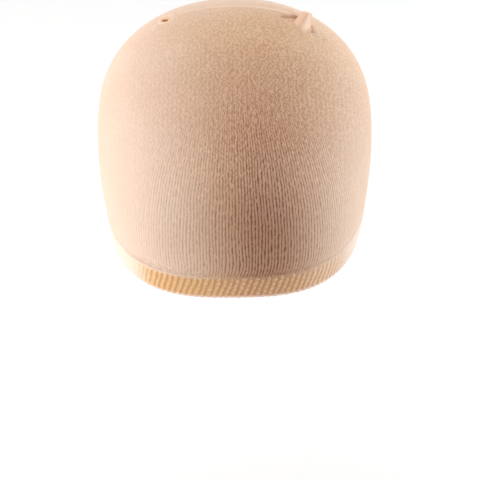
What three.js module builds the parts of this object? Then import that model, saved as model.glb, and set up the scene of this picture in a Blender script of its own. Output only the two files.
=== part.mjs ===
// Stocking wig cap: a fine knitted tube, stretched into the dome of a head. A seam closes the tube over the back
// of the crown, its two ends stand up as folded corners, and a doubled, ribbed welt runs round the hem.
// Units are millimetres. +Z is up, the brow faces -Y, and the origin is the centre of the head opening.
import * as THREE from 'three';

// Dome of the cap, reaching out from its widest point
const HALF_WIDTH = 79.4;
const FRONT_REACH = 115.4;
const BACK_REACH = 67.9;
const CROWN_RISE = 72.2;
const LOWER_REACH = 124;

// How square the dome is: 2 is an ellipse, and more is squarer
const PLAN_EXPONENT = 2.07;
const BROW_EXPONENT = 2.75;
const PROFILE_EXPONENT = 2.59;

// Hem, which drops from the brow to the nape
const HEM_DROP = 50.2;
const HEM_TILT_DEG = 21.2;

// Cloth, and the space that neighbouring pieces keep
const KNIT_WALL = 1;
const PIECE_GAP = 0.3;

// Doubled welt round the hem
const WELT_HEIGHT = 17.4;
const WELT_WALL = 1.7;
const WELT_PROUD = 0.35;
const RIB_PITCH = 3.24;
const RIB_DEPTH = 0.45;
const RIB_LEAN_DEG = 22;

// Seam over the back of the crown
const SEAM_BACK_DEG = 21.5;
const SEAM_LEFT_LENGTH = 31;
const SEAM_RIGHT_LENGTH = 32.4;
const SEAM_WIDTH = 2.6;
const SEAM_HEIGHT = 1.3;
const SEAM_BOW = 2;

// Left corner: a low open pucker
const LEFT_EAR = { length: 10, width: 6, height: 2.4, wall: 1, drift: 3.4 };

// Right corner: a taller tent, folded in pleats towards the brow
const RIGHT_EAR = { length: 8.6, width: 17, height: 4.5, wall: 1, drift: 9.2 };

// Sections of the left pucker from its foot to its lip. The lengths are shares of the pucker's own sizes,
// and the last two columns raise its back and lower its front.
const LEFT_EAR_SECTIONS = [
  { rise: 0, length: 1, width: 1, back: 0, front: 0 },
  { rise: 0.45, length: 0.96, width: 0.86, back: 0.05, front: -0.05 },
  { rise: 0.8, length: 0.88, width: 0.74, back: 0.15, front: -0.35 },
];

// Sections of the right tent from its foot to its tip. Across is towards the wearer's left, forward is towards
// the brow, and fold is how deep the pleats cut into the section.
const RIGHT_EAR_SECTIONS = [
  { rise: 0, length: 1, width: 1, across: 0, forward: 0, fold: 0.12 },
  { rise: 0.35, length: 0.9, width: 0.72, across: 0.06, forward: -0.14, fold: 0.2 },
  { rise: 0.65, length: 0.8, width: 0.42, across: 0.15, forward: -0.28, fold: 0.24 },
  { rise: 0.88, length: 0.7, width: 0.2, across: 0.23, forward: -0.37, fold: 0.16 },
  { rise: 0.98, length: 0.5, width: 0.1, across: 0.27, forward: -0.4, fold: 0.05 },
];
const PLEATS = 4;

// Fineness of the meshes
const CROWN_COLUMNS = 60;
const CROWN_ROWS = 16;
const SEAM_STEPS = 24;
const SEAM_SIDES = 8;
const EAR_COLUMNS = 24;
const ARC_SAMPLES = 720;
const HALVINGS = 40;

const TURN = 2 * Math.PI;
const radians = THREE.MathUtils.degToRad;
const hemSlope = Math.tan(radians(HEM_TILT_DEG));

// A unit direction from the widest point: turn runs round from the brow towards the wearer's left, +X,
// and fall runs down from straight up
function columnDirection(turn, fall) {
  const outward = Math.sin(fall);
  return new THREE.Vector3(outward * Math.sin(turn), -outward * Math.cos(turn), Math.cos(fall));
}

// The dome's outer surface along a direction, or a surface that lies inset within it
function domePoint(direction, inset = 0) {
  const { x, y, z } = direction;
  const reachY = (y < 0 ? FRONT_REACH : BACK_REACH) - inset;
  const reachZ = (z > 0 ? CROWN_RISE : LOWER_REACH) - inset;
  const browShare = Math.max(-y, 0) ** 2;
  const plan = THREE.MathUtils.lerp(PLAN_EXPONENT, BROW_EXPONENT, browShare);
  const across = Math.abs(x / (HALF_WIDTH - inset)) ** plan + Math.abs(y / reachY) ** plan;
  const upward = Math.abs(z / reachZ) ** PROFILE_EXPONENT;
  const reach = (across ** (PROFILE_EXPONENT / plan) + upward) ** (-1 / PROFILE_EXPONENT);
  return direction.clone().multiplyScalar(reach);
}

// How far a point lies above the hem, measured square to the plane that the hem lies in
function heightAboveHem(point) {
  return (point.z + HEM_DROP + hemSlope * point.y) * Math.cos(radians(HEM_TILT_DEG));
}

// The fall at which a column of the dome comes down to a height above the hem
function fallToHeight(turn, height, inset) {
  let above = 0;
  let below = Math.PI;
  for (let step = 0; step < HALVINGS; step += 1) {
    const middle = (above + below) / 2;
    const point = domePoint(columnDirection(turn, middle), inset);
    if (heightAboveHem(point) > height) {
      above = middle;
    } else {
      below = middle;
    }
  }
  return above;
}

function pointAtHeight(turn, height, inset) {
  return domePoint(columnDirection(turn, fallToHeight(turn, height, inset)), inset);
}

// Length of the hem up to each of many turns, which spaces columns and ribs evenly round it
const hemLengths = [0];
for (let sample = 1; sample <= ARC_SAMPLES; sample += 1) {
  const before = pointAtHeight(((sample - 1) / ARC_SAMPLES) * TURN, 0, 0);
  const here = pointAtHeight((sample / ARC_SAMPLES) * TURN, 0, 0);
  hemLengths.push(hemLengths[sample - 1] + before.distanceTo(here));
}
const hemLength = hemLengths[ARC_SAMPLES];

// The turn at a share of the hem's length, counted from the middle of the brow
function turnAtShare(share) {
  const laps = Math.floor(share);
  const wanted = (share - laps) * hemLength;
  const sample = Math.max(1, hemLengths.findIndex((length) => length >= wanted));
  const before = hemLengths[sample - 1];
  const part = (wanted - before) / (hemLengths[sample] - before);
  return (laps + (sample - 1 + part) / ARC_SAMPLES) * TURN;
}

// A point on the crown, from its angle to the side and back of straight up, raised along the surface's normal
function crownPoint(side, back, height) {
  const direction = new THREE.Vector3(
    Math.sin(side),
    Math.cos(side) * Math.sin(back),
    Math.cos(side) * Math.cos(back),
  );
  const nudge = 1e-3;
  const point = domePoint(direction);
  const aside = domePoint(direction.clone().add(new THREE.Vector3(nudge, 0, 0)).normalize()).sub(point);
  const behind = domePoint(direction.clone().add(new THREE.Vector3(0, nudge, 0)).normalize()).sub(point);
  const normal = aside.cross(behind).normalize();
  return point.addScaledVector(normal, height);
}

// Distance from the widest point to the crown where the seam lies, which turns lengths along it into angles
const seamReach = crownPoint(0, radians(SEAM_BACK_DEG), 0).length();

// A point by its lengths along the seam from the middle and forward of it, and its height over the crown
function seamPoint(along, forward, height) {
  const side = along / seamReach;
  const back = radians(SEAM_BACK_DEG) - forward / (seamReach * Math.cos(side));
  return crownPoint(side, back, height);
}

// The seam bows slightly towards the brow at its ends
function seamBow(along) {
  const length = along < 0 ? SEAM_LEFT_LENGTH : SEAM_RIGHT_LENGTH;
  return SEAM_BOW * (along / length) ** 2;
}

// Faces between two rings of points, either of which may be a single point
function joinRings(indices, first, firstCount, second, secondCount) {
  const count = Math.max(firstCount, secondCount);
  for (let step = 0; step < count; step += 1) {
    const next = (step + 1) % count;
    if (firstCount > 1) {
      indices.push(first + step, second + (step % secondCount), first + next);
    }
    if (secondCount > 1) {
      indices.push(first + (next % firstCount), second + step, second + next);
    }
  }
}

// A closed body from rings of points. Wrapped rings join the last to the first, and rings that don't wrap
// start and end in a single point.
function skin(rings, wrapped) {
  const positions = [];
  const starts = [];
  for (const ring of rings) {
    starts.push(positions.length / 3);
    ring.forEach((point) => positions.push(point.x, point.y, point.z));
  }
  const indices = [];
  const bands = wrapped ? rings.length : rings.length - 1;
  for (let band = 0; band < bands; band += 1) {
    const next = (band + 1) % rings.length;
    joinRings(indices, starts[band], rings[band].length, starts[next], rings[next].length);
  }
  const geometry = new THREE.BufferGeometry();
  geometry.setAttribute('position', new THREE.Float32BufferAttribute(positions, 3));
  geometry.setIndex(indices);
  geometry.computeVertexNormals();
  return geometry;
}

function ringOf(count, pointAt) {
  return Array.from({ length: count }, (_, step) => pointAt(step / count));
}

// Knitted body: the dome down to the top of the welt, one wall thick and open below
function knitCrown() {
  const rim = WELT_HEIGHT + PIECE_GAP;
  const layer = (inset) => {
    const rings = [[domePoint(columnDirection(0, 0), inset)]];
    for (let row = 1; row <= CROWN_ROWS; row += 1) {
      rings.push(ringOf(CROWN_COLUMNS, (share) => {
        const turn = turnAtShare(share);
        const fall = (row / CROWN_ROWS) * fallToHeight(turn, rim, inset);
        return domePoint(columnDirection(turn, fall), inset);
      }));
    }
    return rings;
  };
  return skin([...layer(0), ...layer(KNIT_WALL).reverse()], false);
}

// Doubled welt: leaning ribs outside, smooth inside
function ribbedWelt() {
  const ribs = Math.round(hemLength / RIB_PITCH);
  const lean = (Math.tan(radians(RIB_LEAN_DEG)) * WELT_HEIGHT) / hemLength;
  const ring = (rise, insetAt) => ringOf(2 * ribs, (share) => {
    const step = Math.round(share * 2 * ribs);
    return pointAtHeight(turnAtShare(share + rise * lean), rise * WELT_HEIGHT, insetAt(step));
  });
  const ribbed = (proud) => (step) => (step % 2 ? RIB_DEPTH : 0) - proud;
  const smooth = () => WELT_WALL - WELT_PROUD;
  return skin([
    ring(1, ribbed(0)),
    ring(0.5, ribbed(WELT_PROUD)),
    ring(0, ribbed(0)),
    ring(0, smooth),
    ring(1, smooth),
  ], true);
}

// Overlocked seam: a low rounded ridge over the crown, between the two corners
function crownSeam() {
  const rings = [];
  for (let step = 0; step <= SEAM_STEPS; step += 1) {
    const along = THREE.MathUtils.lerp(-SEAM_LEFT_LENGTH, SEAM_RIGHT_LENGTH, step / SEAM_STEPS);
    rings.push(ringOf(SEAM_SIDES, (share) => {
      const forward = (SEAM_WIDTH / 2) * Math.cos(share * TURN);
      const height = PIECE_GAP + (SEAM_HEIGHT / 2) * (1 + Math.sin(share * TURN));
      return seamPoint(along, seamBow(along) + forward, height);
    }));
  }
  const middle = PIECE_GAP + SEAM_HEIGHT / 2;
  const start = [seamPoint(-SEAM_LEFT_LENGTH, SEAM_BOW, middle)];
  const end = [seamPoint(SEAM_RIGHT_LENGTH, SEAM_BOW, middle)];
  return skin([start, ...rings, end], false);
}

// Left corner: an open pucker whose back lip stands above its front lip
function leftSeamEar() {
  const ear = LEFT_EAR;
  const centre = -(SEAM_LEFT_LENGTH + PIECE_GAP + ear.length / 2);
  const ring = (row, inset) => ringOf(EAR_COLUMNS, (share) => {
    const ahead = Math.sin(share * TURN);
    const along = (ear.length / 2) * row.length - inset;
    const forward = (ear.width / 2) * row.width - inset;
    const lift = ahead < 0 ? -row.back * ahead : row.front * ahead;
    return seamPoint(
      centre + along * Math.cos(share * TURN),
      ear.drift + forward * ahead,
      PIECE_GAP + ear.height * (row.rise + lift),
    );
  });
  const outer = LEFT_EAR_SECTIONS.map((row) => ring(row, 0));
  const inner = LEFT_EAR_SECTIONS.map((row) => ring(row, ear.wall));
  return skin([...outer, ...inner.reverse()], true);
}

// Right corner: a pleated tent, hollow from below
function rightSeamEar() {
  const ear = RIGHT_EAR;
  const centre = SEAM_RIGHT_LENGTH + PIECE_GAP + ear.length / 2;
  const point = (row, across, ahead, sink) => seamPoint(
    centre + ear.length * row.across + across,
    ear.drift + ear.width * row.forward + ahead,
    PIECE_GAP + ear.height * row.rise - sink,
  );
  const ring = (row, inset, sink) => ringOf(EAR_COLUMNS, (share) => {
    const fold = 1 - row.fold * (0.5 + 0.5 * Math.cos(share * TURN * PLEATS));
    const across = ((ear.length / 2) * row.length - inset) * fold * Math.cos(share * TURN);
    const ahead = ((ear.width / 2) * row.width - inset) * fold * Math.sin(share * TURN);
    return point(row, across, ahead, sink);
  });
  const last = RIGHT_EAR_SECTIONS[RIGHT_EAR_SECTIONS.length - 1];
  const tip = [point({ ...last, rise: 1 }, 0, 0, 0)];
  const outer = RIGHT_EAR_SECTIONS.map((row) => ring(row, 0, 0));
  const hollow = RIGHT_EAR_SECTIONS.filter((row) => ear.width * row.width > 4 * ear.wall);
  const inner = hollow.map((row, index) => ring(row, ear.wall, index ? ear.wall : 0));
  const roof = [point(hollow[hollow.length - 1], 0, 0, ear.wall / 2)];
  return skin([roof, ...inner.reverse(), ...outer, tip], false);
}

function piece(name, geometry, colour, roughness) {
  const material = new THREE.MeshStandardMaterial({ color: colour, roughness, metalness: 0 });
  const mesh = new THREE.Mesh(geometry, material);
  mesh.name = name;
  return mesh;
}

const cap = new THREE.Group();
cap.add(
  piece('knit_crown', knitCrown(), 0xd9b595, 0.85),
  piece('ribbed_welt', ribbedWelt(), 0xdcb98f, 0.9),
  piece('crown_seam', crownSeam(), 0xe3c3a4, 0.85),
  piece('left_seam_ear', leftSeamEar(), 0xf0cfb0, 0.85),
  piece('right_seam_ear', rightSeamEar(), 0xf0cba6, 0.85),
);

// The pieces are laid out about the widest point, then moved so that the head opening is centred on the origin
const browHem = pointAtHeight(0, 0, 0);
const napeHem = pointAtHeight(TURN / 2, 0, 0);
cap.position.copy(browHem.add(napeHem).multiplyScalar(-0.5));

export default cap;
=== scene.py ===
"""Looks of a stocking wig cap: its knitted body, ribbed welt, seam and folded seam corners.

Lengths are millimetres until a mesh is made. +Z is up, the brow faces -Y and +X is the wearer's left.
"""

import math

import bpy
import numpy as np
from mathutils import Matrix, Vector


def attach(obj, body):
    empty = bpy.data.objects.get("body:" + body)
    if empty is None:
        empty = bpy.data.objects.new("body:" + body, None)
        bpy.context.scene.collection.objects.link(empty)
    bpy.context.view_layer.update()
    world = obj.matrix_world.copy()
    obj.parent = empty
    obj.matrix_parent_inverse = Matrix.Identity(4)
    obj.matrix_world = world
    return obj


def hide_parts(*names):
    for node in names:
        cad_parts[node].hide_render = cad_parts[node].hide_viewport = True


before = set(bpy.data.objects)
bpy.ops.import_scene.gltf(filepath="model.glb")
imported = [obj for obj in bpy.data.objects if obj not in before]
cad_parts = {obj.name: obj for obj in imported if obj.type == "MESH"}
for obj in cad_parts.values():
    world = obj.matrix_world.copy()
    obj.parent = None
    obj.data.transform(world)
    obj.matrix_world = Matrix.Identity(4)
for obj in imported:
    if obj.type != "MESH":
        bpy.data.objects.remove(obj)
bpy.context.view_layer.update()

MM = 0.001
TURN = 2 * math.pi

# Dome of the cap, reaching out from its widest point
HALF_WIDTH = 79.4
FRONT_REACH = 115.4
BACK_REACH = 67.9
CROWN_RISE = 72.2
LOWER_REACH = 124.0
PLAN_EXPONENT = 2.07
BROW_EXPONENT = 2.75
PROFILE_EXPONENT = 2.59

# Hem and welt
HEM_DROP = 50.2
HEM_TILT = math.radians(21.2)
WELT_HEIGHT = 17.4
WELT_PROUD = 0.35
WELT_WALL = 1.7
RIB_PITCH = 3.24
RIB_DEPTH = 0.5
RIB_SHIFT = 1.15
BEAD_PITCH = 3.4
WELT_JOINT = 0.02
WELT_TOP_ROUND = 0.15
WELT_LIP_ROUND = 0.7
WELT_SET_BACK = 0.12
WELT_BULGE = 0.18
FOLD_TIGHTNESS = 0.25
COLUMNS_IN_A_RIB = 8
OUTER_STEPS = 26
FOLD_STEPS = 8
INNER_STEPS = 5
TOP_STEPS = 6
RIB_SHARPNESS = 2.2
SCALLOP_DEPTH = 0.4
SCALLOP_HEIGHT = 1.2
# The ribs are pulled flat over both temples: starts and ends across the cap, and from the front to the back
TEMPLE_FADE = 0.93
LEFT_TEMPLE = (-57, -43)
RIGHT_TEMPLE = (56, 68)
TEMPLE_BACK = (-8, 16)

# Knitted body
KNIT_WALL = 1.0
WALES_IN_A_RIB = 2
WALE_DEPTH = 0.07
COLUMNS_IN_A_WALE = 4
KNIT_ROWS = 58
INNER_ROWS = 14
ROW_CROWDING = 1.25
COURSE_PITCH = 1.05
FULL_WALE_PITCH = 1.6
LEAST_WALE_DEPTH = 0.15
# Wander of the wales as a share of their pitch: amount, wales in a swing, length of a swing, seed
WALE_WANDER = (
    (0.20, 4, 11.0, 3),
    (0.20, 1, 3.0, 5),
)
WANDER_FADE = 3.0
RIM_LEAN = 0.9
RIM_LEAN_HEIGHT = 7.0
RIM_ROUND = 0.05
RIM_ROUND_HEIGHT = 0.6
RIM_WALE_DEPTH = 0.2
# Course numbers of the seam line and of the inside, where no course is counted
SEAM_COURSE = 200.0
INSIDE_COURSE = 60.0

# Seam over the back of the crown
SEAM_BACK = math.radians(21.5)
SEAM_LEFT_LENGTH = 31.0
SEAM_RIGHT_LENGTH = 32.4
SEAM_BOW = 2.0
SEAM_GAP = 0.3
SEAM_WIDTH = 2.4
SEAM_HEIGHT = 1.0
SEAM_LINE_HEIGHT = 0.95
SEAM_SIDES = 18
WRAP_PITCH = 1.1
STEPS_IN_A_WRAP = 6
WRAP_SWELL = 0.12
GATHER_HALF_LENGTH = 36.5
# Step of the back panel over the front panel, by the length forward of the seam line
STEP_HEIGHT = 1.0
STEP_EDGE = 0.6
STEP_RISE = (-18, -1.5)
STEP_FALL = (STEP_EDGE, 8)
STEP_TAIL = (7, 8.5)
STEP_REMAINDER = 0.12
STEP_NOTCH = 0.12

# Left corner: an open pucker. Right corner: a pleated tent. Both lie forward of the seam line by the drift
LEFT_EAR_LENGTH, LEFT_EAR_WIDTH, LEFT_EAR_HEIGHT, LEFT_EAR_DRIFT = 10.0, 6.0, 2.4, 3.4
RIGHT_EAR_LENGTH, RIGHT_EAR_WIDTH, RIGHT_EAR_HEIGHT, RIGHT_EAR_DRIFT = 8.6, 17.0, 4.5, 9.2
LEFT_EAR_OPENING = 0.36
LEFT_EAR_SINK = 0.35
LEFT_EAR_COLUMNS, LEFT_EAR_STEPS = 120, 22
RIGHT_EAR_COLUMNS, RIGHT_EAR_STEPS = 144, 34
LEFT_EAR_STITCHES, RIGHT_EAR_STITCHES = (20, 5), (30, 9)
RIGHT_EAR_INSIDE = 0.8
EAR_WALL = 0.8
LEFT_EAR_CENTRE = -(SEAM_LEFT_LENGTH + SEAM_GAP + LEFT_EAR_LENGTH / 2)
RIGHT_EAR_CENTRE = SEAM_RIGHT_LENGTH + SEAM_GAP + RIGHT_EAR_LENGTH / 2
# Sections of the right corner from its foot up: rise, length, width, shift across, shift forward, fold depth
RIGHT_EAR_SECTIONS = np.array([
    (-0.10, 1.46, 1.16, 0.02, 0.00, 0.24),
    (-0.03, 1.34, 1.06, 0.03, 0.00, 0.26),
    (0.05, 1.22, 0.97, 0.04, -0.02, 0.28),
    (0.15, 1.11, 0.86, 0.06, -0.06, 0.29),
    (0.35, 0.98, 0.68, 0.10, -0.15, 0.29),
    (0.65, 0.82, 0.43, 0.17, -0.28, 0.25),
    (0.88, 0.71, 0.22, 0.23, -0.37, 0.16),
    (0.98, 0.53, 0.10, 0.27, -0.40, 0.06),
])

# Short creases in the cloth: start and end as lengths along and forward of the seam, depth, width
CREASES = (
    ((25.2, 6.9), (36.0, 2.9), 1.1, 1.1),
    ((41.6, 6.5), (43.6, 13.5), 0.9, 0.8),
    ((46.6, 8.5), (50.5, 17.0), 0.8, 0.9),
    ((43.6, 5.0), (48.4, 16.5), -1.6, 1.15),
    ((-39.0, 3.2), (-34.0, 3.6), 0.8, 1.1),
    ((-41.6, 3.0), (-42.6, 9.0), -0.6, 0.9),
)


def smooth(low, high, value):
    """0 below low, 1 above high, and an even curve between."""
    share = np.clip((value - low) / (high - low), 0, 1)
    return share * share * (3 - 2 * share)


def hump(value, centre, width):
    return np.exp(-(((value - centre) / width) ** 2))


def dome(direction, inset=0.0):
    """Points of the dome, or of a surface inset within it, along unit directions from the widest point."""
    x, y, z = np.moveaxis(direction, -1, 0)
    reach_y = np.where(y < 0, FRONT_REACH, BACK_REACH) - inset
    reach_z = np.where(z > 0, CROWN_RISE, LOWER_REACH) - inset
    plan = PLAN_EXPONENT + (BROW_EXPONENT - PLAN_EXPONENT) * np.maximum(-y, 0) ** 2
    across = np.abs(x / (HALF_WIDTH - inset)) ** plan + np.abs(y / reach_y) ** plan
    upward = np.abs(z / reach_z) ** PROFILE_EXPONENT
    reach = (across ** (PROFILE_EXPONENT / plan) + upward) ** (-1 / PROFILE_EXPONENT)
    return direction * reach[..., None]


def dome_normals(points):
    """Outward normals of the dome at points near it."""
    nudge = 0.02
    slope = []
    for axis in np.eye(3) * nudge:
        share = []
        for moved in (points + axis, points - axis):
            length = np.linalg.norm(moved, axis=-1)
            share.append(length / np.linalg.norm(dome(moved / length[..., None]), axis=-1))
        slope.append(share[0] - share[1])
    slope = np.stack(slope, -1)
    return slope / np.linalg.norm(slope, axis=-1, keepdims=True)


def column_direction(turn, fall):
    outward = np.sin(fall)
    return np.stack([outward * np.sin(turn), -outward * np.cos(turn), np.cos(fall)], -1)


def height_above_hem(points):
    return (points[..., 2] + HEM_DROP + math.tan(HEM_TILT) * points[..., 1]) * math.cos(HEM_TILT)


def point_at_height(turn, height, inset=0.0):
    """The dome's point on each column at a height above the hem."""
    turn, height, inset = np.broadcast_arrays(turn, height, inset)
    above, below = np.zeros(turn.shape), np.full(turn.shape, math.pi)
    for _ in range(40):
        middle = (above + below) / 2
        higher = height_above_hem(dome(column_direction(turn, middle), inset)) > height
        above, below = np.where(higher, middle, above), np.where(higher, below, middle)
    return dome(column_direction(turn, above), inset)


hem_turns = np.linspace(0, TURN, 1441)
hem_points = point_at_height(hem_turns, 0.0)
hem_lengths = np.concatenate([[0], np.cumsum(np.linalg.norm(np.diff(hem_points, axis=0), axis=1))])
HEM_LENGTH = hem_lengths[-1]
RIBS = round(HEM_LENGTH / RIB_PITCH)
WALES = RIBS * WALES_IN_A_RIB
# The widest point, from the middle of the head opening, which is the frame's origin
WIDEST = -(point_at_height(0.0, 0.0) + point_at_height(math.pi, 0.0)) / 2


def turn_at_share(share):
    """The turn at a share of the hem's length, counted from the middle of the brow."""
    laps = np.floor(share)
    return np.interp(share - laps, hem_lengths / HEM_LENGTH, hem_turns) + laps * TURN


# Directions that the seam is laid out from: up through its middle, along it, and forward of it
SEAM_UP = np.array([0, math.sin(SEAM_BACK), math.cos(SEAM_BACK)])
SEAM_ALONG = np.array([1.0, 0, 0])
SEAM_FORWARD = np.array([0, -math.cos(SEAM_BACK), math.sin(SEAM_BACK)])
SEAM_REACH = float(np.linalg.norm(dome(SEAM_UP)))


def spread_direction(along, forward):
    """Unit directions, from their angles along and forward of the seam's middle."""
    angle = np.hypot(along, forward)
    share = np.where(angle < 1e-9, 1.0, np.sin(angle) / np.maximum(angle, 1e-9))
    return (np.cos(angle)[..., None] * SEAM_UP + (share * along)[..., None] * SEAM_ALONG
            + (share * forward)[..., None] * SEAM_FORWARD)


def spread_angles(direction):
    """Angles along and forward of the seam's middle, from unit directions."""
    angle = np.arccos(np.clip(direction @ SEAM_UP, -1, 1))
    along, forward = direction @ SEAM_ALONG, direction @ SEAM_FORWARD
    scale = angle / np.maximum(np.hypot(along, forward), 1e-9)
    return along * scale, forward * scale


def seam_bow(along):
    length = np.where(along < 0, SEAM_LEFT_LENGTH, SEAM_RIGHT_LENGTH)
    return SEAM_BOW * (along / length) ** 2


def seam_point(along, forward, height):
    """Points by their lengths along the seam and forward of it, and their height over the crown."""
    along, forward, height = np.broadcast_arrays(along, forward, height)
    side = along / SEAM_REACH
    back = SEAM_BACK - forward / (SEAM_REACH * np.cos(side))
    direction = np.stack([np.sin(side), np.cos(side) * np.sin(back), np.cos(side) * np.cos(back)], -1)
    points = dome(direction)
    return points + dome_normals(points) * height[..., None]


def smooth_noise(first, second, laps, seed):
    """Even noise from -1 to 1 over two running numbers, repeating every so many laps of the first."""
    lattice = np.random.default_rng(seed).uniform(-1, 1, (laps, 257))
    cell_first, cell_second = np.floor(first).astype(int), np.floor(second).astype(int)
    part_first, part_second = first - cell_first, second - cell_second
    part_first = part_first * part_first * (3 - 2 * part_first)
    part_second = part_second * part_second * (3 - 2 * part_second)

    def at(step_first, step_second):
        return lattice[(cell_first + step_first) % laps, (cell_second + step_second) % 257]

    near = at(0, 0) + (at(1, 0) - at(0, 0)) * part_first
    far = at(0, 1) + (at(1, 1) - at(0, 1)) * part_first
    return near + (far - near) * part_second


def crease_depths(along, forward):
    """How deep the cloth is creased at lengths along and forward of the seam."""
    depth = np.zeros(np.broadcast(along, forward).shape)
    for (start_along, start_forward), (end_along, end_forward), deep, width in CREASES:
        run = np.array([end_along - start_along, end_forward - start_forward])
        length = float(np.hypot(*run))
        run = run / length
        on = (along - start_along) * run[0] + (forward - start_forward) * run[1]
        off = (forward - start_forward) * run[0] - (along - start_along) * run[1]
        ends = smooth(-0.1, 0.35, on / length) * (1 - smooth(0.8, 1.15, on / length))
        depth += deep * ends * hump(off, 0, width)
    return depth


def make_mesh(name, points, faces, maps=(), values=(), laps=None):
    """A smooth mesh object from points in millimetres about the widest point, with UV maps and point values.

    Where a map's first number runs round the piece in so many laps, no face spans from its end to its start.
    """
    mesh = bpy.data.meshes.new(name)
    mesh.from_pydata(((points + WIDEST) * MM).tolist(), [], faces)
    mesh.validate()
    corner_points = np.zeros(len(mesh.loops), int)
    mesh.loops.foreach_get("vertex_index", corner_points)
    for map_name, per_point in maps:
        layer = mesh.uv_layers.new(name=map_name)
        corners = per_point[corner_points]
        if laps:
            starts, totals = np.zeros(len(mesh.polygons), int), np.zeros(len(mesh.polygons), int)
            mesh.polygons.foreach_get("loop_start", starts)
            mesh.polygons.foreach_get("loop_total", totals)
            highest = np.repeat(np.maximum.reduceat(corners[:, 0], starts), totals)
            corners[:, 0] += laps * (highest - corners[:, 0] > laps / 2)
        layer.data.foreach_set("uv", corners.astype(np.float32).ravel())
    for value_name, per_point in values:
        attribute = mesh.attributes.new(value_name, "FLOAT", "POINT")
        attribute.data.foreach_set("value", per_point.astype(np.float32))
    mesh.shade_smooth()
    piece = bpy.data.objects.new(name, mesh)
    bpy.context.scene.collection.objects.link(piece)
    return piece


def band_faces(first, second):
    """Quads between two closed rings of point numbers of one length."""
    return [list(corners) for corners in zip(first, second, np.roll(second, -1), np.roll(first, -1))]


def tube_faces(rings):
    """Quads along a tube of closed rings of point numbers."""
    faces = []
    for first, second in zip(rings, rings[1:]):
        faces += band_faces(first, second)
    return faces


def ring_numbers(count, columns):
    """Point numbers of so many rings of so many points each, one ring after the other."""
    return [step * columns + np.arange(columns) for step in range(count)]


def fan_faces(fine, coarse):
    """Triangles between a fine closed ring and a coarse one, where the counts divide evenly."""
    each = len(fine) // len(coarse)
    faces = []
    for step, corner in enumerate(coarse):
        after = coarse[(step + 1) % len(coarse)]
        run = [fine[(step * each + part) % len(fine)] for part in range(each + 1)]
        faces += [[run[part], corner, run[part + 1]] for part in range(each)]
        faces.append([corner, after, run[-1]])
    return faces


def knit_spread(share, rows):
    """Angles along and forward of the seam for every row and wale: wales are hyperbolas about the seam."""
    rim = point_at_height(turn_at_share(share), WELT_HEIGHT + WELT_JOINT)
    along, forward = spread_angles(rim / np.linalg.norm(rim, axis=-1, keepdims=True))
    half = GATHER_HALF_LENGTH / SEAM_REACH
    curve = np.arccosh((along + 1j * forward) / half)
    rim_stretch = curve.real
    rim_course = np.unwrap(curve.imag)
    rim_course += TURN * np.round((math.pi / 2 - rim_course[len(share) // 2]) / TURN)
    at_front = np.abs(share) <= 0.25
    front = np.arccos(np.clip(4 * share, -1, 1))
    back = np.arccos(np.clip(2 - 4 * np.abs(share), -1, 1))
    seam_course = np.where(at_front, front, np.where(share > 0, -back, math.pi + back))
    hold = 1 - (1 - rows[:, None]) ** 4
    course = seam_course + (rim_course - seam_course) * hold
    stretch = np.arcsinh(rows[:, None] * np.sinh(rim_stretch))
    p, q = half * np.cosh(stretch) * np.cos(course), half * np.sinh(stretch) * np.sin(course)
    bow = seam_bow(p * SEAM_REACH) / SEAM_REACH * np.exp(-(stretch / 0.5) ** 2) * (np.abs(p) < 2 * half)
    return p, q + bow


def seam_step(p, q):
    """How high the back panel stands over the front panel along the seam."""
    reach = np.abs(p) * SEAM_REACH
    beside = 1 - smooth(GATHER_HALF_LENGTH - 5, GATHER_HALF_LENGTH + 3, reach)
    away = q * SEAM_REACH - seam_bow(np.clip(p * SEAM_REACH, -SEAM_LEFT_LENGTH, SEAM_RIGHT_LENGTH))
    beyond = (1 - STEP_REMAINDER) * (1 - smooth(*STEP_FALL, away)) + STEP_REMAINDER
    height = STEP_HEIGHT * np.where(away < STEP_EDGE, smooth(*STEP_RISE, away), beyond)
    height = height * (1 - STEP_NOTCH * smooth(STEP_EDGE, 2 * STEP_EDGE, away))
    return height * (1 - smooth(*STEP_TAIL, away)) * beside


def wandering_wales(wale, from_rim):
    """Wale numbers that wander as the cloth is stretched by hand, and lean with the ribs near the welt."""
    wander = 0
    for amount, wales_each, length, seed in WALE_WANDER:
        swings = smooth_noise((wale + WALES) / wales_each, from_rim / length, WALES // wales_each, seed)
        wander = wander + amount * swings
    wander = wander * smooth(0.0, WANDER_FADE, from_rim)
    return wale + wander + RIM_LEAN * (1 - smooth(0.0, RIM_LEAN_HEIGHT, from_rim))


def wale_relief(wale, pitch, from_rim):
    """How far the wales stand out, less where they crowd together and at the edge by the welt."""
    from_edge = smooth(0.0, RIM_ROUND_HEIGHT, from_rim)
    relief = WALE_DEPTH * np.clip(pitch / FULL_WALE_PITCH, LEAST_WALE_DEPTH, 1) * np.cos(TURN * wale)
    relief *= from_edge * (1 - RIM_WALE_DEPTH) + RIM_WALE_DEPTH
    return relief - RIM_ROUND * (1 - from_edge)


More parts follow.
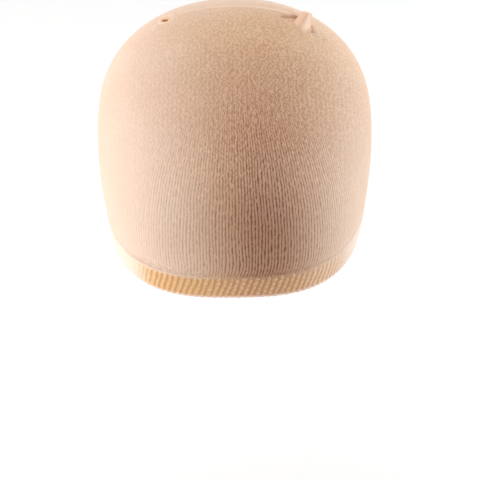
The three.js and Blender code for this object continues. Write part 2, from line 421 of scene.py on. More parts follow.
def knit_body():
    """The knitted body: wales in relief outside, plain inside, closed along the seam and at its edge."""
    columns = WALES * COLUMNS_IN_A_WALE
    share = np.arange(columns) / columns - 0.5
    rows = (np.arange(KNIT_ROWS + 1) / KNIT_ROWS) ** ROW_CROWDING
    p, q = knit_spread(share, rows)
    points = dome(spread_direction(p, q))
    pitch = np.linalg.norm(np.roll(points, -1, axis=1) - points, axis=-1) * COLUMNS_IN_A_WALE
    from_seam = np.cumsum(np.linalg.norm(np.diff(points, axis=0, prepend=points[:1]), axis=-1), axis=0)
    from_rim = from_seam[-1] - from_seam
    wale = wandering_wales(share * WALES, from_rim)
    crease = crease_depths(p * SEAM_REACH, q * SEAM_REACH)
    relief = wale_relief(wale, pitch, from_rim) + seam_step(p, q) - crease
    outer = points + dome_normals(points) * relief[..., None]
    # The first row is the seam line itself, where front and back wales meet point by point
    seam_share = np.where(np.abs(share) <= 0.25, share, np.sign(share) * (0.5 - np.abs(share)))
    line = np.linspace(-0.25, 0.25, columns // 2 + 1)
    seam_numbers = np.rint((seam_share + 0.25) * columns).astype(int)
    line_p = 4 * line * GATHER_HALF_LENGTH / SEAM_REACH
    line_points = dome(spread_direction(line_p, seam_bow(line_p * SEAM_REACH) / SEAM_REACH))
    line_points = line_points + dome_normals(line_points) * SEAM_LINE_HEIGHT
    start = len(line)
    outer_rows = [seam_numbers]
    outer_rows += [start + row * columns + np.arange(columns) for row in range(KNIT_ROWS)]
    faces = tube_faces(outer_rows)
    # Inside, one column stands for each wale
    inner_share = share[::COLUMNS_IN_A_WALE]
    inner_p, inner_q = knit_spread(inner_share, np.linspace(1, 0, INNER_ROWS + 1)[:-1])
    inner = dome(spread_direction(inner_p, inner_q), KNIT_WALL)
    inner_line_p = line_p[::COLUMNS_IN_A_WALE]
    inner_line_points = dome(spread_direction(inner_line_p, 0 * inner_line_p), KNIT_WALL)
    first_inner = start + KNIT_ROWS * columns
    inner_rows = [first_inner + row * WALES + np.arange(WALES) for row in range(INNER_ROWS)]
    inner_seam_numbers = np.rint((seam_share[::COLUMNS_IN_A_WALE] + 0.25) * WALES).astype(int)
    inner_rows.append(first_inner + INNER_ROWS * WALES + inner_seam_numbers)
    faces += fan_faces(outer_rows[-1], inner_rows[0])
    faces += tube_faces(inner_rows)
    faces = [[number for step, number in enumerate(face) if number != face[step - 1]] for face in faces]
    faces = [face for face in faces if len(set(face)) > 2]
    everything = np.concatenate(
        [line_points, outer[1:].reshape(-1, 3), inner.reshape(-1, 3), inner_line_points])
    # Wale and course numbers for the stitches, from the rim up
    inside = len(everything) - first_inner
    courses = (from_rim[1:] / COURSE_PITCH).ravel()
    wales = np.concatenate([line * WALES, wale[1:].ravel(), np.zeros(inside)])
    courses = np.concatenate([np.full(start, SEAM_COURSE), courses, np.full(inside, INSIDE_COURSE)])
    # Crease depths, for painted shade in the creases and painted highlight on the ridges
    shade_and_highlight_weights = np.concatenate([np.zeros(start), crease[1:].ravel(), np.zeros(inside)])
    return make_mesh("knit_body", everything, faces, [("knit", np.stack([wales, courses], -1))],
                     [("painted_shade_and_highlight", shade_and_highlight_weights)], WALES)


def welt_band():
    """The doubled welt: leaning ribs outside, a scalloped folded edge below, smooth inside."""
    columns = RIBS * COLUMNS_IN_A_RIB
    share = np.arange(columns) / columns
    phase = share * RIBS
    crest = 1 - np.abs(2 * (phase % 1) - 1) ** RIB_SHARPNESS
    middle = point_at_height(turn_at_share(share), WELT_HEIGHT / 2)
    temples = np.maximum(1 - smooth(*LEFT_TEMPLE, middle[..., 0]), smooth(*RIGHT_TEMPLE, middle[..., 0]))
    fade = 1 - TEMPLE_FADE * temples * (1 - smooth(*TEMPLE_BACK, middle[..., 1]))
    straight = WELT_HEIGHT - WELT_LIP_ROUND - WELT_TOP_ROUND
    outer_inset = RIB_DEPTH - WELT_PROUD + WELT_SET_BACK
    inner_inset = WELT_WALL - WELT_PROUD
    half_wall = WELT_WALL / 2 - FOLD_TIGHTNESS
    rings, uvs = [], []

    def ring(height, inset, strength):
        rise = height / WELT_HEIGHT
        lean = RIB_SHIFT * (0.5 * smooth(0.1, 0.9, rise) + 0.5 * rise) / RIBS
        wobble = smooth_noise(phase, np.full(columns, height / 4.0), RIBS, 11)
        bead = np.cos(TURN * (height / BEAD_PITCH + 0.5 * np.floor(phase) + 0.35 * wobble))
        relief = RIB_DEPTH * strength * (crest * (0.82 + 0.16 * bead) * fade + 0.7 * (1 - fade))
        turn = turn_at_share(share + lean + 0.13 * wobble / RIBS)
        scallop = SCALLOP_DEPTH * (1 - crest) * np.clip(1 - height / SCALLOP_HEIGHT, 0, 1) * (strength > 0)
        rings.append(point_at_height(turn, height + scallop, inset - relief))
        uvs.append(np.stack([phase, np.full(columns, height)], -1))

    # Down the outside, round the folded edge, up the inside and over the top
    for rise in np.linspace(1, 0, OUTER_STEPS + 1):
        near_top = smooth(0.88, 0.98, rise)
        inset = outer_inset - WELT_BULGE * math.sin(math.pi * rise) - 0.03 * near_top
        ring(WELT_LIP_ROUND + rise * straight, inset, 1 - 0.75 * near_top)
    for angle in np.linspace(0, math.pi, FOLD_STEPS + 1)[1:-1]:
        inset = outer_inset + half_wall * (1 - math.cos(angle))
        ring(WELT_LIP_ROUND * (1 - math.sin(angle)), inset, 0.5 * (1 + math.cos(angle)))
    for rise in np.linspace(0, 1, INNER_STEPS + 1):
        ring(WELT_LIP_ROUND + rise * straight, inner_inset, 0)
    for angle in np.linspace(0, math.pi, TOP_STEPS + 1)[1:-1]:
        height = WELT_HEIGHT - WELT_TOP_ROUND * (1 - math.sin(angle) ** 0.25)
        ring(height, inner_inset - half_wall * (1 - math.cos(angle)), 0.12 * (1 - math.cos(angle)))
    numbers = ring_numbers(len(rings), columns)
    faces = tube_faces([numbers[-1]] + numbers)
    return make_mesh("welt_band", np.concatenate(rings), faces, [("knit", np.concatenate(uvs))], laps=RIBS)


def seam_ridge():
    """The overlocked seam: a low roll with slanting thread wraps."""
    length = SEAM_LEFT_LENGTH + SEAM_RIGHT_LENGTH
    wraps = round(length / WRAP_PITCH)
    steps = wraps * STEPS_IN_A_WRAP
    around = np.arange(SEAM_SIDES) / SEAM_SIDES * TURN
    rings, uvs = [], []
    for step in range(steps + 1):
        share = step / steps
        along = share * length - SEAM_LEFT_LENGTH
        taper = 1 - 0.75 * (hump(share, 0, 0.03) + hump(share, 1, 0.03))
        wrap = 0.5 + 0.5 * np.cos(TURN * (share * wraps + 0.12 * np.cos(around)))
        swell = 1 + WRAP_SWELL * wrap
        forward = SEAM_WIDTH / 2 * taper * swell * np.cos(around)
        height = SEAM_GAP + SEAM_HEIGHT / 2 * (1 + taper * swell * np.sin(around))
        rings.append(seam_point(along, seam_bow(along) + forward, height))
        uvs.append(np.stack([np.full(SEAM_SIDES, share * wraps), around / TURN], -1))
    numbers = ring_numbers(steps + 1, SEAM_SIDES)
    faces = tube_faces(numbers[::-1])
    faces.append(list(numbers[0]))
    faces.append(list(numbers[-1][::-1]))
    return make_mesh("seam_ridge", np.concatenate(rings), faces, [("knit", np.concatenate(uvs))])


def left_corner():
    """The left corner: an open pucker whose back lip stands above its front lip."""
    columns, steps = LEFT_EAR_COLUMNS, LEFT_EAR_STEPS
    stitches_round, stitches_up = LEFT_EAR_STITCHES
    angle = np.arange(columns) / columns * TURN
    ahead, side = np.sin(angle), np.cos(angle)
    outer_along, outer_forward = LEFT_EAR_LENGTH / 2 * side, LEFT_EAR_WIDTH / 2 * ahead
    # The opening is a wedge, wide at the outer end and closing towards the seam
    narrow = 0.02 + 0.17 * (0.5 - 0.5 * side) ** 1.1
    inner_along = LEFT_EAR_LENGTH / 2 * (LEFT_EAR_OPENING * side - 0.14)
    inner_forward = LEFT_EAR_WIDTH / 2 * (narrow * (ahead * 0.9 + 0.5) + 0.02 + 0.30 * side)
    lip = LEFT_EAR_HEIGHT * (0.64 - 0.34 * ahead + 0.06 * side) + 0.12 * np.sin(3 * angle + 0.6)
    rings, uvs, painted_shades, painted_highlights, feet = [], [], [], [], []
    for step in range(steps + 1):
        share = step / steps
        blend = 0.5 - 0.5 * math.cos(math.pi * share)
        flare = 1 + 0.14 * (1 - share) ** 6
        along = (outer_along * flare) * (1 - blend) + inner_along * blend
        forward = (outer_forward * flare) * (1 - blend) + inner_forward * blend
        height = lip * math.sin(math.pi * share) ** 0.75 - LEFT_EAR_SINK
        rings.append(seam_point(LEFT_EAR_CENTRE + along, LEFT_EAR_DRIFT + forward, height))
        uvs.append(np.stack([angle / TURN * stitches_round, np.full(columns, share * stitches_up)], -1))
        # Painted shade in the pucker's open mouth
        painted_shades.append(np.full(columns, 1.4 * smooth(0.80, 0.98, share)))
        # Painted highlight on the back lip; the lower flanks take the same paler colour
        lip_highlight = hump(share, 0.42, 0.22) * (0.55 - 0.45 * ahead)
        painted_highlights.append(np.maximum(lip_highlight, 1.1 * (1 - smooth(0.2, 0.55, share))))
        feet.append(np.full(columns, 0.35 * (1 - smooth(0.02, 0.3, share))))
    numbers = ring_numbers(steps + 1, columns)
    faces = tube_faces([numbers[0]] + numbers[::-1])
    return make_mesh("left_corner", np.concatenate(rings), faces, [("knit", np.concatenate(uvs))],
                     [("painted_shade_and_highlight", np.concatenate(painted_shades)), ("pale", np.concatenate(painted_highlights)),
                      ("foot", np.concatenate(feet))])


def right_corner():
    """The right corner: a pleated tent that leans back, hollow from below."""
    columns, steps = RIGHT_EAR_COLUMNS, RIGHT_EAR_STEPS
    stitches_round, stitches_up = RIGHT_EAR_STITCHES
    angle = np.arange(columns) / columns * TURN
    ahead, side = np.sin(angle), np.cos(angle)
    table = RIGHT_EAR_SECTIONS
    # Two pleats in front, the left one wider, with a deep valley between
    drawn_back = 1.3 * hump(angle, 1.22 * math.pi, 0.7)
    pointed = 1 - 0.30 * np.maximum(ahead, 0) ** 1.5
    slope = 0.6 * np.maximum(ahead, 0)

    def valley(rise):
        centre = (0.66 - 0.16 * np.clip(rise, 0, 1)) * math.pi
        return hump(angle, centre, 0.40) + 0.5 * hump(angle, 1.5 * math.pi, 0.5)

    def ring(rise, inset):
        sizes = [np.interp(rise, table[:, 0], table[:, kind]) for kind in range(1, 6)]
        length, width, across, drift, fold = sizes
        lift = rise * (1 - slope * (1 - rise)) if rise > 0 else rise
        scale = 1 - 1.35 * fold * valley(rise) * np.where(ahead > 0, 1.15, 0.7)
        scale = scale * (1 - 0.42 * drawn_back * (1 - 0.5 * max(rise, 0)))
        along = (RIGHT_EAR_LENGTH / 2 * length - inset) * scale * side * pointed
        forward = (RIGHT_EAR_WIDTH / 2 * width - min(inset, 0.4 * width * RIGHT_EAR_WIDTH)) * scale * ahead
        return seam_point(RIGHT_EAR_CENTRE + RIGHT_EAR_LENGTH * across + along,
                          RIGHT_EAR_DRIFT + RIGHT_EAR_WIDTH * drift + forward,
                          SEAM_GAP + RIGHT_EAR_HEIGHT * lift - 0.35 * inset)

    # Up the outside from the foot, and down the inside
    rises = table[0, 0] + (table[-1, 0] - table[0, 0]) * np.linspace(0, 1, steps + 1)
    inner_rises = rises[: int(steps * RIGHT_EAR_INSIDE)][::-1]
    rings = [ring(rise, 0) for rise in rises] + [ring(rise, EAR_WALL) for rise in inner_rises]
    uvs = [np.stack([angle / TURN * stitches_round, np.full(columns, rise * stitches_up)], -1)
           for rise in (*rises, *inner_rises)]
    # Painted shade in the valleys between the pleats
    painted_shades = [0.28 * valley(rise) * smooth(0.05, 0.5, rise) for rise in rises]
    # Painted highlight on the right pleat
    painted_highlights = [hump(angle, 0.30 * math.pi, 0.6) * smooth(-0.1, 0.3, rise) for rise in rises]
    feet = [np.full(columns, 1 - smooth(-0.02, 0.36, rise)) for rise in rises]
    # The inside is painted with shade all over. Two more points close the tip and the roof
    count, outer_count = len(rings), steps + 1
    rest = (count - outer_count) * columns
    painted_shades += [np.ones(rest), np.zeros(1), np.ones(1)]
    painted_highlights += [np.zeros(rest + 2)]
    feet += [np.zeros(rest + 2)]
    tip_across, tip_drift = table[-1, 3:5]
    tip = seam_point(RIGHT_EAR_CENTRE + RIGHT_EAR_LENGTH * tip_across,
                     RIGHT_EAR_DRIFT + RIGHT_EAR_WIDTH * tip_drift, SEAM_GAP + RIGHT_EAR_HEIGHT)
    roof = np.mean(rings[outer_count], axis=0)
    numbers = ring_numbers(count, columns)
    faces = tube_faces(numbers[:outer_count][::-1] + numbers[outer_count:][::-1])
    last, first_inner = numbers[outer_count - 1], numbers[outer_count]
    tip_number, roof_number = count * columns, count * columns + 1
    faces += [[tip_number, int(a), int(b)] for a, b in zip(last, np.roll(last, -1))]
    faces += [[roof_number, int(b), int(a)] for a, b in zip(first_inner, np.roll(first_inner, -1))]
    points = np.concatenate(rings + [tip[None], roof[None]])
    uvs = np.concatenate(uvs + [np.zeros((2, 2))])
    return make_mesh("right_corner", points, faces, [("knit", uvs)],
                     [("painted_shade_and_highlight", np.concatenate(painted_shades)), ("pale", np.concatenate(painted_highlights)),
                      ("foot", np.concatenate(feet))])


class Graph:
    """A material's nodes, made in few words. Values are numbers, colours or sockets."""

    def __init__(self, name):
        self.material = bpy.data.materials.new(name)
        self.material.use_nodes = True
        self.tree = self.material.node_tree
        self.shader = next(node for node in self.tree.nodes if node.type == "BSDF_PRINCIPLED")

    def add(self, kind, inputs=(), **settings):
        node = self.tree.nodes.new(kind)
        for key, value in settings.items():
            setattr(node, key, value)
        for key, value in dict(inputs).items():
            self.put(node.inputs[key], value)
        return node

    def put(self, socket, value):
        if isinstance(value, bpy.types.NodeSocket):
            self.tree.links.new(value, socket)
        else:
            socket.default_value = value

    def math(self, operation, *values):
        return self.add("ShaderNodeMath", enumerate(values), operation=operation).outputs[0]

    def times(self, first, second):
        return self.math("MULTIPLY", first, second)

    def plus(self, first, second):
        return self.math("ADD", first, second)

    def minus(self, first, second):
        return self.math("SUBTRACT", first, second)

    def line(self, value, slope, start):
        """The start, plus the slope times the value."""
        return self.math("MULTIPLY_ADD", value, slope, start)

    def ramp(self, value, low, high):
        """0 at low, 1 at high, and an even curve between. Low may be the greater number."""
        node = self.add("ShaderNodeMapRange", {"Value": value, "From Min": low, "From Max": high},
                        interpolation_type="SMOOTHSTEP")
        return node.outputs["Result"]

    def bell(self, value, centre, reach):
        """1 at the centre, falling to about a third at the reach on both sides."""
        share = self.math("DIVIDE", self.minus(value, centre), reach)
        return self.math("EXPONENT", self.times(self.times(share, share), -1.0))

    def between(self, value, left, right):
        """1 between two ramps, each given by where it is 0 and where it is 1."""
        return self.times(self.ramp(value, *left), self.ramp(value, *right))

    def from_crest(self, number):
        """0 on the crest of each wale or rib, and 1 in the gap between two."""
        return self.times(self.math("ABSOLUTE", self.math("WRAP", number, 0.5, -0.5)), 2.0)

    def wave(self, operation, turns):
        return self.math(operation, self.times(turns, TURN))

    def blend(self, share, base, other, blend_type="MIX"):
        node = self.add("ShaderNodeMix", data_type="RGBA", blend_type=blend_type)
        self.put(node.inputs["Factor"], share)
        self.put(node.inputs["A"], base)
        self.put(node.inputs["B"], other)
        return node.outputs["Result"]

    def shade(self, share, base, tint):
        """The base colour, multiplied by the tint by a share."""
        return self.blend(share, base, tint, "MULTIPLY")

    def noise(self, vector, scale, detail=2.0, roughness=0.5):
        settings = {"Vector": vector, "Scale": scale, "Detail": detail, "Roughness": roughness}
        return self.add("ShaderNodeTexNoise", settings).outputs["Fac"]

    def stretch(self, vector, factors):
        return self.add("ShaderNodeVectorMath", {0: vector, 1: factors}, operation="MULTIPLY").outputs[0]

    def pair(self, first, second):
        return self.add("ShaderNodeCombineXYZ", {0: first, 1: second}).outputs[0]

    def split(self, vector):
        return self.add("ShaderNodeSeparateXYZ", {0: vector}).outputs

    def map(self):
        """The piece's UV map: wales or ribs across, courses or millimetres up."""
        return self.add("ShaderNodeUVMap", uv_map="knit").outputs["UV"]

    def place(self):
        """The place on the cap, in metres of the frame."""
        return self.add("ShaderNodeTexCoord").outputs["Object"]

    def value(self, name):
        """One of the mesh's point values."""
        return self.add("ShaderNodeAttribute", attribute_name=name).outputs["Fac"]

    def bump(self, height, distance, strength):
        node = self.add("ShaderNodeBump", {"Height": height, "Distance": distance, "Strength": strength})
        self.put(self.shader.inputs["Normal"], node.outputs["Normal"])


def colour(red, green, blue):
    """A linear colour from the red, green and blue that it shows as on a screen, from 0 to 255."""
    shown = np.array([red, green, blue]) / 255
    linear = np.where(shown <= 0.04045, shown / 12.92, ((shown + 0.055) / 1.055) ** 2.4)
    return (*linear.tolist(), 1.0)


PALE_YARN = colour(249, 224, 207)
PEACH_YARN = colour(241, 213, 191)
TAN_YARN = colour(238, 199, 166)
CROWN_YARN = colour(222, 184, 152)
TOP_YARN = colour(229, 193, 158)
SHEER_YARN = colour(205, 163, 142)
BROW_YARN = colour(191, 148, 123)
WELT_YARN = colour(246, 199, 145)
WELT_PAINTED_LIGHT = colour(254, 232, 215)
WELT_CREAM = colour(255, 233, 205)
WELT_PEACH = colour(255, 218, 186)
WELT_HIGHLIGHT = colour(255, 236, 208)
LIP_HIGHLIGHT = colour(255, 222, 205)
CORNER_YARN = colour(250, 208, 176)
PAINTED_CORNER_HIGHLIGHT = colour(250, 228, 212)
FOOT_YARN = colour(222, 184, 156)
PAINTED_HOLLOW_SHADE = colour(164, 94, 60)
# Painted shade: what the gaps, the grooves, the joint and the crinkles' troughs leave of the yarn's light.
# The groove tint also darkens the welt's wool at random, and a faint blush is random tone
GAP_SHADE_TINT = (0.45, 0.31, 0.23, 1)
GROOVE_SHADE_AND_WOOL_TINT = (0.64, 0.45, 0.30, 1)
JOINT_SHADE_TINT = (0.74, 0.66, 0.60, 1)
BLUSH_TINT = (1.0, 0.88, 0.84, 1)
TROUGH_SHADE_TINT = (0.60, 0.46, 0.36, 1)

# Zones on the cap, in metres: where each starts, and where it is full. Y runs from the brow to the back
BROW_HALF = (0.01, -0.07)
SHEER_ZONE = (0.045, -0.095)
BROAD_ZONE = (0.075, 0.035)
CROWN_ZONE = (-0.058, -0.030)
TOP_ZONE = (0.008, 0.030)
BROW_ZONE = (-0.052, -0.084)
PLAIN_WALES_ZONE = (0.05, -0.01)
BEHIND_ZONE = (0.012, 0.05)
LOW_BEHIND_ZONE = (0.08, 0.045)
LOW_WALES_ZONE = (0.0, -0.07)
LOW_WALES_LEFT, LOW_WALES_RIGHT = (-0.064, -0.034), (0.075, 0.05)
JOINT_LEFT, JOINT_RIGHT = (-0.068, -0.048), (0.056, 0.036)
RIBS_LEFT, RIBS_RIGHT = (-0.060, -0.044), (0.066, 0.048)
RIBS_BEHIND = (-0.008, 0.016)
CREAM_ZONE = (-0.060, -0.040)
PEACH_ZONE = (0.026, 0.050)

# Zones along the wales, in courses above the welt
SLACK_COURSES = (10.0, 70.0)
JOINT_COURSES = (3.6, 0.9)
LOOSE_COURSES = (7.0, 3.0)

# Sizes of the noises, as cells in a metre, and the crinkles' pitch in metres
TONE_NOISE = 45.0
BLUSH_NOISE = 34.0
GRAIN_NOISE = 1050.0
DRIFT_NOISE = 620.0
KNOB_NOISE = 640.0
FUZZ_NOISE = 700.0
WOOL_NOISE = 900.0
RAGGED_NOISE = 420.0
CLOTH_NOISE = 500.0
CRINKLE_PITCH = 0.0024


def cloth_finish(graph, roughness):
    graph.shader.inputs["Roughness"].default_value = roughness
    graph.shader.inputs["Sheen Weight"].default_value = 0.0
    graph.shader.inputs["Sheen Roughness"].default_value = 0.45
    graph.shader.inputs["Specular IOR Level"].default_value = 0.1


def stretch_fields(graph, x, y):
    """How far the cloth thins and darkens over the brow, and how far it tans over the whole front."""
    low = graph.ramp(y, *BROW_HALF)
    sheer = graph.bell(x, 0.016, graph.line(low, -0.006, 0.032))
    broad = graph.bell(x, graph.line(low, -0.004, 0.015), graph.line(low, -0.020, 0.055))
    return graph.times(sheer, graph.ramp(y, *SHEER_ZONE)), graph.times(broad, graph.ramp(y, *BROAD_ZONE))


def yarn_colour(graph, place, y, sheer, broad):
    """The yarn's own colour: pale at the sides, tan over the front, brown where it is stretched thin."""
    pale = graph.blend(graph.noise(place, TONE_NOISE, 3.0), PALE_YARN, PEACH_YARN)
    tan = graph.blend(graph.ramp(y, *CROWN_ZONE), TAN_YARN, CROWN_YARN)
    tan = graph.blend(graph.ramp(y, *TOP_ZONE), tan, TOP_YARN)
    thin = graph.blend(graph.ramp(y, *BROW_ZONE), SHEER_YARN, BROW_YARN)
    yarn = graph.blend(sheer, graph.blend(broad, pale, tan), thin)
    blush = graph.ramp(graph.noise(place, BLUSH_NOISE, 1.0), 0.42, 0.62)
    return graph.shade(graph.times(blush, graph.times(broad, 0.25)), yarn, BLUSH_TINT)


def crinkles(graph, place, x, course, broad, plain):
    """Heights of the slack cloth's crinkles, and how strong they are. Plain wales take over at the brow."""
    grain = graph.minus(graph.noise(graph.stretch(place, (1.0, 0.62, 0.62)), GRAIN_NOISE, 0.0), 0.5)
    drift = graph.noise(graph.stretch(place, (0.45, 1.0, 1.0)), DRIFT_NOISE, 0.0)
    turns = graph.line(x, TURN / CRINKLE_PITCH, graph.times(drift, 10.0))
    stripe = graph.times(graph.math("SINE", turns), graph.line(plain, 0.15, 0.05))
    coarse = graph.times(grain, graph.line(plain, -0.5, 1.35))
    height = graph.plus(coarse, graph.plus(stripe, 0.5))
    slack = graph.times(graph.ramp(course, *SLACK_COURSES), broad)
    return height, graph.times(slack, graph.line(plain, 0.45, 0.55))


def joint_tones(graph, yarn, place, course, sheer, broad, joint, sides):
    """The body's edge at the welt: a fuzzy line of painted shade at the joint, and a ragged start of the
    welt's colour.
    """
    # Painted shade along the joint with the welt, made fuzzy by noise
    joint_shade = graph.line(sheer, 0.12, graph.times(sides, 0.14))
    yarn = graph.shade(graph.times(joint, joint_shade), yarn, JOINT_SHADE_TINT)
    fuzz = graph.ramp(graph.noise(place, FUZZ_NOISE, 1.0), 0.35, 0.65)
    fuzz = graph.times(fuzz, graph.line(broad, 0.5, 0.04))
    yarn = graph.shade(graph.times(joint, fuzz), yarn, JOINT_SHADE_TINT)
    ragged = graph.line(graph.noise(place, RAGGED_NOISE, 2.0), -5.0, graph.plus(course, 2.5))
    ragged = graph.times(graph.ramp(ragged, 1.5, 0.3), graph.line(sheer, -0.45, 0.6))
    return graph.blend(ragged, yarn, graph.blend(broad, WELT_PAINTED_LIGHT, WELT_YARN))


def knit_material():
    graph = Graph("nude_knit")
    cloth_finish(graph, 0.72)
    wale, course, _ = graph.split(graph.map())
    place = graph.place()
    x, y, z = graph.split(place)
    sheer, broad = stretch_fields(graph, x, y)
    plain = graph.ramp(y, *PLAIN_WALES_ZONE)
    behind = graph.times(graph.ramp(y, *BEHIND_ZONE), graph.ramp(z, *LOW_BEHIND_ZONE))
    # Gaps between the wales, of uneven width along each, darkened below with painted shade
    off_crest = graph.from_crest(wale)
    beads = graph.noise(graph.pair(wale, graph.times(course, 0.36)), 1.1, 1.5, 0.6)
    uneven = graph.times(graph.minus(beads, 0.5), 1.25)
    gap = graph.ramp(graph.plus(off_crest, uneven), 0.45, 0.95)
    # Crinkles over the crown, with painted shade in their troughs
    yarn = yarn_colour(graph, place, y, sheer, broad)
    crinkle, slack = crinkles(graph, place, x, course, broad, plain)
    trough_shade = graph.plus(graph.line(slack, 0.62, 0.09), graph.times(behind, 0.14))
    yarn = graph.shade(graph.times(graph.ramp(crinkle, 0.85, 0.15), trough_shade), yarn, TROUGH_SHADE_TINT)
    # The edge at the welt, and loose loops just above it to the sides of the brow, with painted shade
    # between the loops
    sides = graph.between(x, JOINT_LEFT, JOINT_RIGHT)
    joint = graph.ramp(course, *JOINT_COURSES)
    yarn = joint_tones(graph, yarn, place, course, sheer, broad, joint, sides)
    loose = graph.times(graph.ramp(course, *LOOSE_COURSES), graph.minus(1.0, sheer))
    # Painted shade in spots between the loose loops
    knob_shade = graph.ramp(graph.noise(place, KNOB_NOISE, 0.5), 0.58, 0.38)
    knob_shade = graph.times(knob_shade, graph.times(sides, 0.26))
    yarn = graph.shade(graph.times(loose, knob_shade), yarn, TROUGH_SHADE_TINT)
    gap = graph.times(gap, graph.line(joint, -0.25, 1.0))
    gap = graph.times(gap, graph.line(loose, -0.35, 1.0))
    # How dark the painted shade in the gaps is: most where the cloth is stretched thin, then low over the
    # brow and behind
    low = graph.ramp(y, *LOW_WALES_ZONE)
    wide = graph.times(low, graph.ramp(x, *LOW_WALES_LEFT))
    wide = graph.times(wide, graph.ramp(x, *LOW_WALES_RIGHT))
    strength = graph.line(graph.times(low, broad), 0.20, graph.line(wide, 0.20, 0.06))
    strength = graph.line(sheer, 0.58, strength)
    strength = graph.line(behind, 0.20, strength)
    # The gaps between the wales are darkened with painted shade
    body = graph.shade(graph.times(gap, strength), yarn, GAP_SHADE_TINT)
    # Painted shade in the creases, and painted highlight on the ridges
    painted_shade_and_highlight = graph.value("painted_shade_and_highlight")
    ridge_highlight = graph.math("MAXIMUM", graph.times(painted_shade_and_highlight, -0.45), 0.0)
    crease = graph.math("MINIMUM", graph.math("MAXIMUM", graph.times(painted_shade_and_highlight, 0.50), 0.0), 1.0)
    body = graph.blend(ridge_highlight, body, PALE_YARN)
    graph.put(graph.shader.inputs["Base Color"], graph.blend(crease, body, PAINTED_HOLLOW_SHADE))
    loops = graph.wave("SINE", graph.plus(course, graph.times(off_crest, 0.45)))
    height = graph.plus(graph.times(loops, 0.25), graph.times(gap, -0.45))
    bumps = graph.times(crinkle, graph.line(slack, 1.2, 0.3))
    graph.bump(graph.plus(height, bumps), 0.00012, 0.85)
    return graph.material


def welt_colour(graph, place, x, sheer, broad, ribbed, upper):
    """The welt's colour before its grooves: painted pale where it is smooth, as washed out by the lamps, and
    the body's own colour at its top, with fuzzy painted shade there.
    """
    base = graph.blend(graph.ramp(x, *CREAM_ZONE), WELT_CREAM, WELT_YARN)
    base = graph.blend(graph.ramp(x, *PEACH_ZONE), base, WELT_PEACH)
    base = graph.blend(ribbed, WELT_PAINTED_LIGHT, base)
    base = graph.blend(graph.times(sheer, 0.52), base, SHEER_YARN)
    wool = graph.ramp(graph.noise(place, WOOL_NOISE, 1.0), 0.62, 0.38)
    # Darker wool at random, which is the yarn's own tone
    base = graph.shade(graph.times(wool, graph.line(broad, 0.14, 0.04)), base, GROOVE_SHADE_AND_WOOL_TINT)
    knit = graph.blend(sheer, graph.blend(broad, PALE_YARN, TAN_YARN), BROW_YARN)
    base = graph.blend(graph.times(upper, 0.8), base, knit)
    # Fuzzy painted shade at the welt's top, where it meets the body
    fuzz = graph.ramp(graph.noise(place, FUZZ_NOISE, 1.0), 0.35, 0.65)
    fuzz = graph.times(upper, graph.line(fuzz, 0.6, 0.15))
    fuzz = graph.times(fuzz, graph.line(broad, 0.9, 0.05))
    return graph.shade(graph.times(fuzz, 0.6), base, JOINT_SHADE_TINT)


def welt_material():
    graph = Graph("ribbed_knit")
    cloth_finish(graph, 0.75)
    rib, up, _ = graph.split(graph.map())
    place = graph.place()
    x, y, _ = graph.split(place)
    sheer, broad = stretch_fields(graph, x, y)
    # Uneven wear bends the grooves, the beads and the ribs' upper ends
    worn = graph.minus(graph.noise(graph.pair(rib, graph.times(up, 0.45)), 1.9, 2.5, 0.65), 0.5)
    groove = graph.line(graph.wave("COSINE", graph.line(worn, 0.95, rib)), 0.5, 0.5)
    beats = graph.plus(graph.math("DIVIDE", up, BEAD_PITCH), graph.times(rib, 0.5))
    beats = graph.line(worn, 7.0, graph.times(beats, TURN))
    bead = graph.line(graph.math("COSINE", beats), 0.5, 0.5)
    head = graph.ramp(graph.line(worn, 6.0, up), 17.0, 14.6)
    # Where the ribs show; at the temples the welt is painted pale, as washed out by the lamps, and its
    # groove shade fades
    ribbed = graph.between(x, RIBS_LEFT, RIBS_RIGHT)
    ribbed = graph.math("MAXIMUM", ribbed, graph.ramp(y, *RIBS_BEHIND))
    base = welt_colour(graph, place, x, sheer, broad, ribbed, graph.minus(1.0, head))
    # Painted shade in the grooves between the ribs, fainter at the pale sides
    depth = graph.times(head, graph.math("MAXIMUM", ribbed, 0.06))
    depth = graph.times(depth, graph.line(broad, 0.22, 0.42))
    body = graph.shade(graph.times(groove, depth), base, GROOVE_SHADE_AND_WOOL_TINT)
    # Painted highlights on the beads along the ribs' crests
    knot_highlights = graph.ramp(graph.times(graph.minus(1.0, groove), bead), 0.25, 0.8)
    body = graph.blend(graph.times(knot_highlights, graph.line(broad, 0.16, 0.12)), body, WELT_HIGHLIGHT)
    # Painted highlight along the folded lip at the bottom
    lip = graph.times(graph.ramp(up, 3.0, 1.4), 0.8)
    graph.put(graph.shader.inputs["Base Color"], graph.blend(lip, body, LIP_HIGHLIGHT))
    loops = graph.wave("SINE", graph.plus(up, graph.times(graph.from_crest(rib), 0.6)))
    graph.bump(loops, 0.0001, 0.7)
    return graph.material


def plain_cloth_material(name, main, deep, bump_scale):
    """Cloth of the small pieces, by the point values that their meshes carry."""
    graph = Graph(name)
    cloth_finish(graph, 0.75)
    tone = graph.noise(graph.place(), CLOTH_NOISE, 3.0, 0.6)
    body = graph.blend(graph.times(tone, 0.45), main, deep)
    # Painted highlight where the pieces carry it
    body = graph.blend(graph.times(graph.value("pale"), 0.65), body, PAINTED_CORNER_HIGHLIGHT)
    body = graph.blend(graph.value("foot"), body, FOOT_YARN)
    # Painted shade in the hollows and creases
    painted_shade_and_highlight = graph.math("MINIMUM", graph.times(graph.value("painted_shade_and_highlight"), 0.7), 1.0)
    graph.put(graph.shader.inputs["Base Color"], graph.blend(painted_shade_and_highlight, body, PAINTED_HOLLOW_SHADE))
    graph.bump(graph.noise(graph.map(), bump_scale, 2.0), 0.0002, 0.6)
    return graph.material


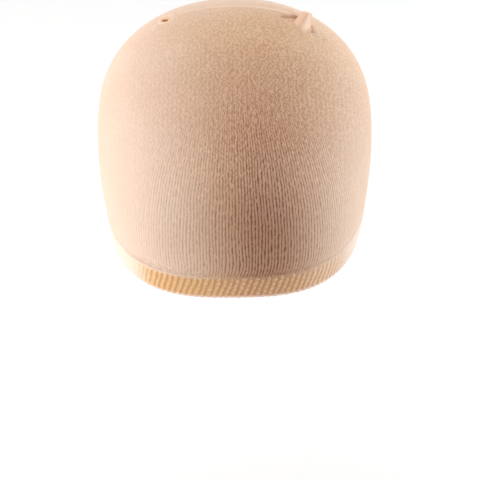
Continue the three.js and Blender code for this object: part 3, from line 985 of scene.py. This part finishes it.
def finish_piece(piece, material, slot_name, *nodes):
    piece.data.materials.append(material)
    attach(piece, "root")
    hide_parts(*nodes)


# Camera, in millimetres and degrees, and the soft boxes: name, place, aim, size, power and colour
CAMERA_PLACE = (6.2, -379.1, 481.6)
CAMERA_AIM = (2.25, -15.92, -11.74)
CAMERA_ROLL = -1.06
CAMERA_LENS = 75.47
SENSOR_WIDTH = 36
SOFT_BOXES = (
    ("left_softbox", (-1.1, -0.1, 0.25), (0, 0, 0.03), (1.1, 1.0), 8.5, (0.96, 0.90, 0.87)),
    ("right_softbox", (1.15, 0.1, 0.25), (0, 0, 0.03), (1.2, 1.0), 9.2, (0.94, 0.98, 1)),
    ("front_softbox", (-0.75, -0.9, 0.25), (-0.02, 0, 0), (0.9, 0.7), 2.6, (0.98, 1, 1)),
    ("top_softbox", (-0.1, 0.75, 1.1), (0, 0, 0.05), (1.2, 0.8), 7.0, (0.98, 1, 1)),
)
# The surroundings are a little brighter at the back than in front
WORLD_FADE = {"From Min": -0.9, "From Max": 0.1, "To Min": 0.35, "To Max": 0.51}
FLOOR_SIZE = 12
FLOOR_HEIGHT = -0.32
FLOOR_GREY = 0.93
FLOOR_GLOW = 0.03


def make_camera():
    data = bpy.data.cameras.new("camera")
    data.lens = CAMERA_LENS
    data.sensor_width = SENSOR_WIDTH
    data.clip_start = 0.05
    data.clip_end = 50
    camera = bpy.data.objects.new("camera", data)
    bpy.context.scene.collection.objects.link(camera)
    place = Vector(CAMERA_PLACE) * MM
    aim = Vector(CAMERA_AIM) * MM
    look = (aim - place).to_track_quat("-Z", "Y").to_matrix()
    turned = look @ Matrix.Rotation(math.radians(CAMERA_ROLL), 3, "Z")
    camera.matrix_world = Matrix.Translation(place) @ turned.to_4x4()
    bpy.context.scene.camera = camera


def area_light(name, place, aim, size, power, tint):
    data = bpy.data.lights.new(name, "AREA")
    data.shape = "RECTANGLE"
    data.size, data.size_y = size
    data.energy = power
    data.color = tint
    light = bpy.data.objects.new(name, data)
    bpy.context.scene.collection.objects.link(light)
    light.location = place
    light.rotation_mode = "QUATERNION"
    light.rotation_quaternion = (Vector(aim) - Vector(place)).to_track_quat("-Z", "Y")


def make_world():
    world = bpy.data.worlds.new("studio")
    bpy.context.scene.world = world
    world.use_nodes = True
    tree = world.node_tree
    back = tree.nodes["Background"]
    back.inputs["Color"].default_value = (1, 1, 1, 1)
    place = tree.nodes.new("ShaderNodeTexCoord")
    axes = tree.nodes.new("ShaderNodeSeparateXYZ")
    fade = tree.nodes.new("ShaderNodeMapRange")
    for key, value in WORLD_FADE.items():
        fade.inputs[key].default_value = value
    tree.links.new(place.outputs["Generated"], axes.inputs[0])
    tree.links.new(axes.outputs[1], fade.inputs["Value"])
    tree.links.new(fade.outputs["Result"], back.inputs["Strength"])


def make_floor():
    bpy.ops.mesh.primitive_plane_add(size=FLOOR_SIZE, location=(0, 0, FLOOR_HEIGHT))
    floor = bpy.context.object
    floor.name = "floor"
    graph = Graph("pale_floor")
    shader = graph.shader
    shader.inputs["Roughness"].default_value = 0.9
    shader.inputs["Base Color"].default_value = (FLOOR_GREY, FLOOR_GREY, FLOOR_GREY, 1)
    shader.inputs["Emission Color"].default_value = (1, 1, 1, 1)
    shader.inputs["Emission Strength"].default_value = FLOOR_GLOW
    floor.data.materials.append(graph.material)


bpy.context.scene.view_settings.view_transform = "Standard"
make_camera()
make_world()
for soft_box in SOFT_BOXES:
    area_light(*soft_box)
make_floor()
body = knit_body()
welt = welt_band()
seam = seam_ridge()
finish_piece(body, knit_material(), "knit", "knit_crown")
finish_piece(welt, welt_material(), "welt", "ribbed_welt")
finish_piece(seam, plain_cloth_material("seam_thread", PEACH_YARN, TAN_YARN, 6.0), "seam", "crown_seam")
corner_cloth = plain_cloth_material("folded_knit", CORNER_YARN, TAN_YARN, 6.0)
left = left_corner()
right = right_corner()
finish_piece(left, corner_cloth, "corner", "left_seam_ear")
finish_piece(right, corner_cloth, "corner", "right_seam_ear")
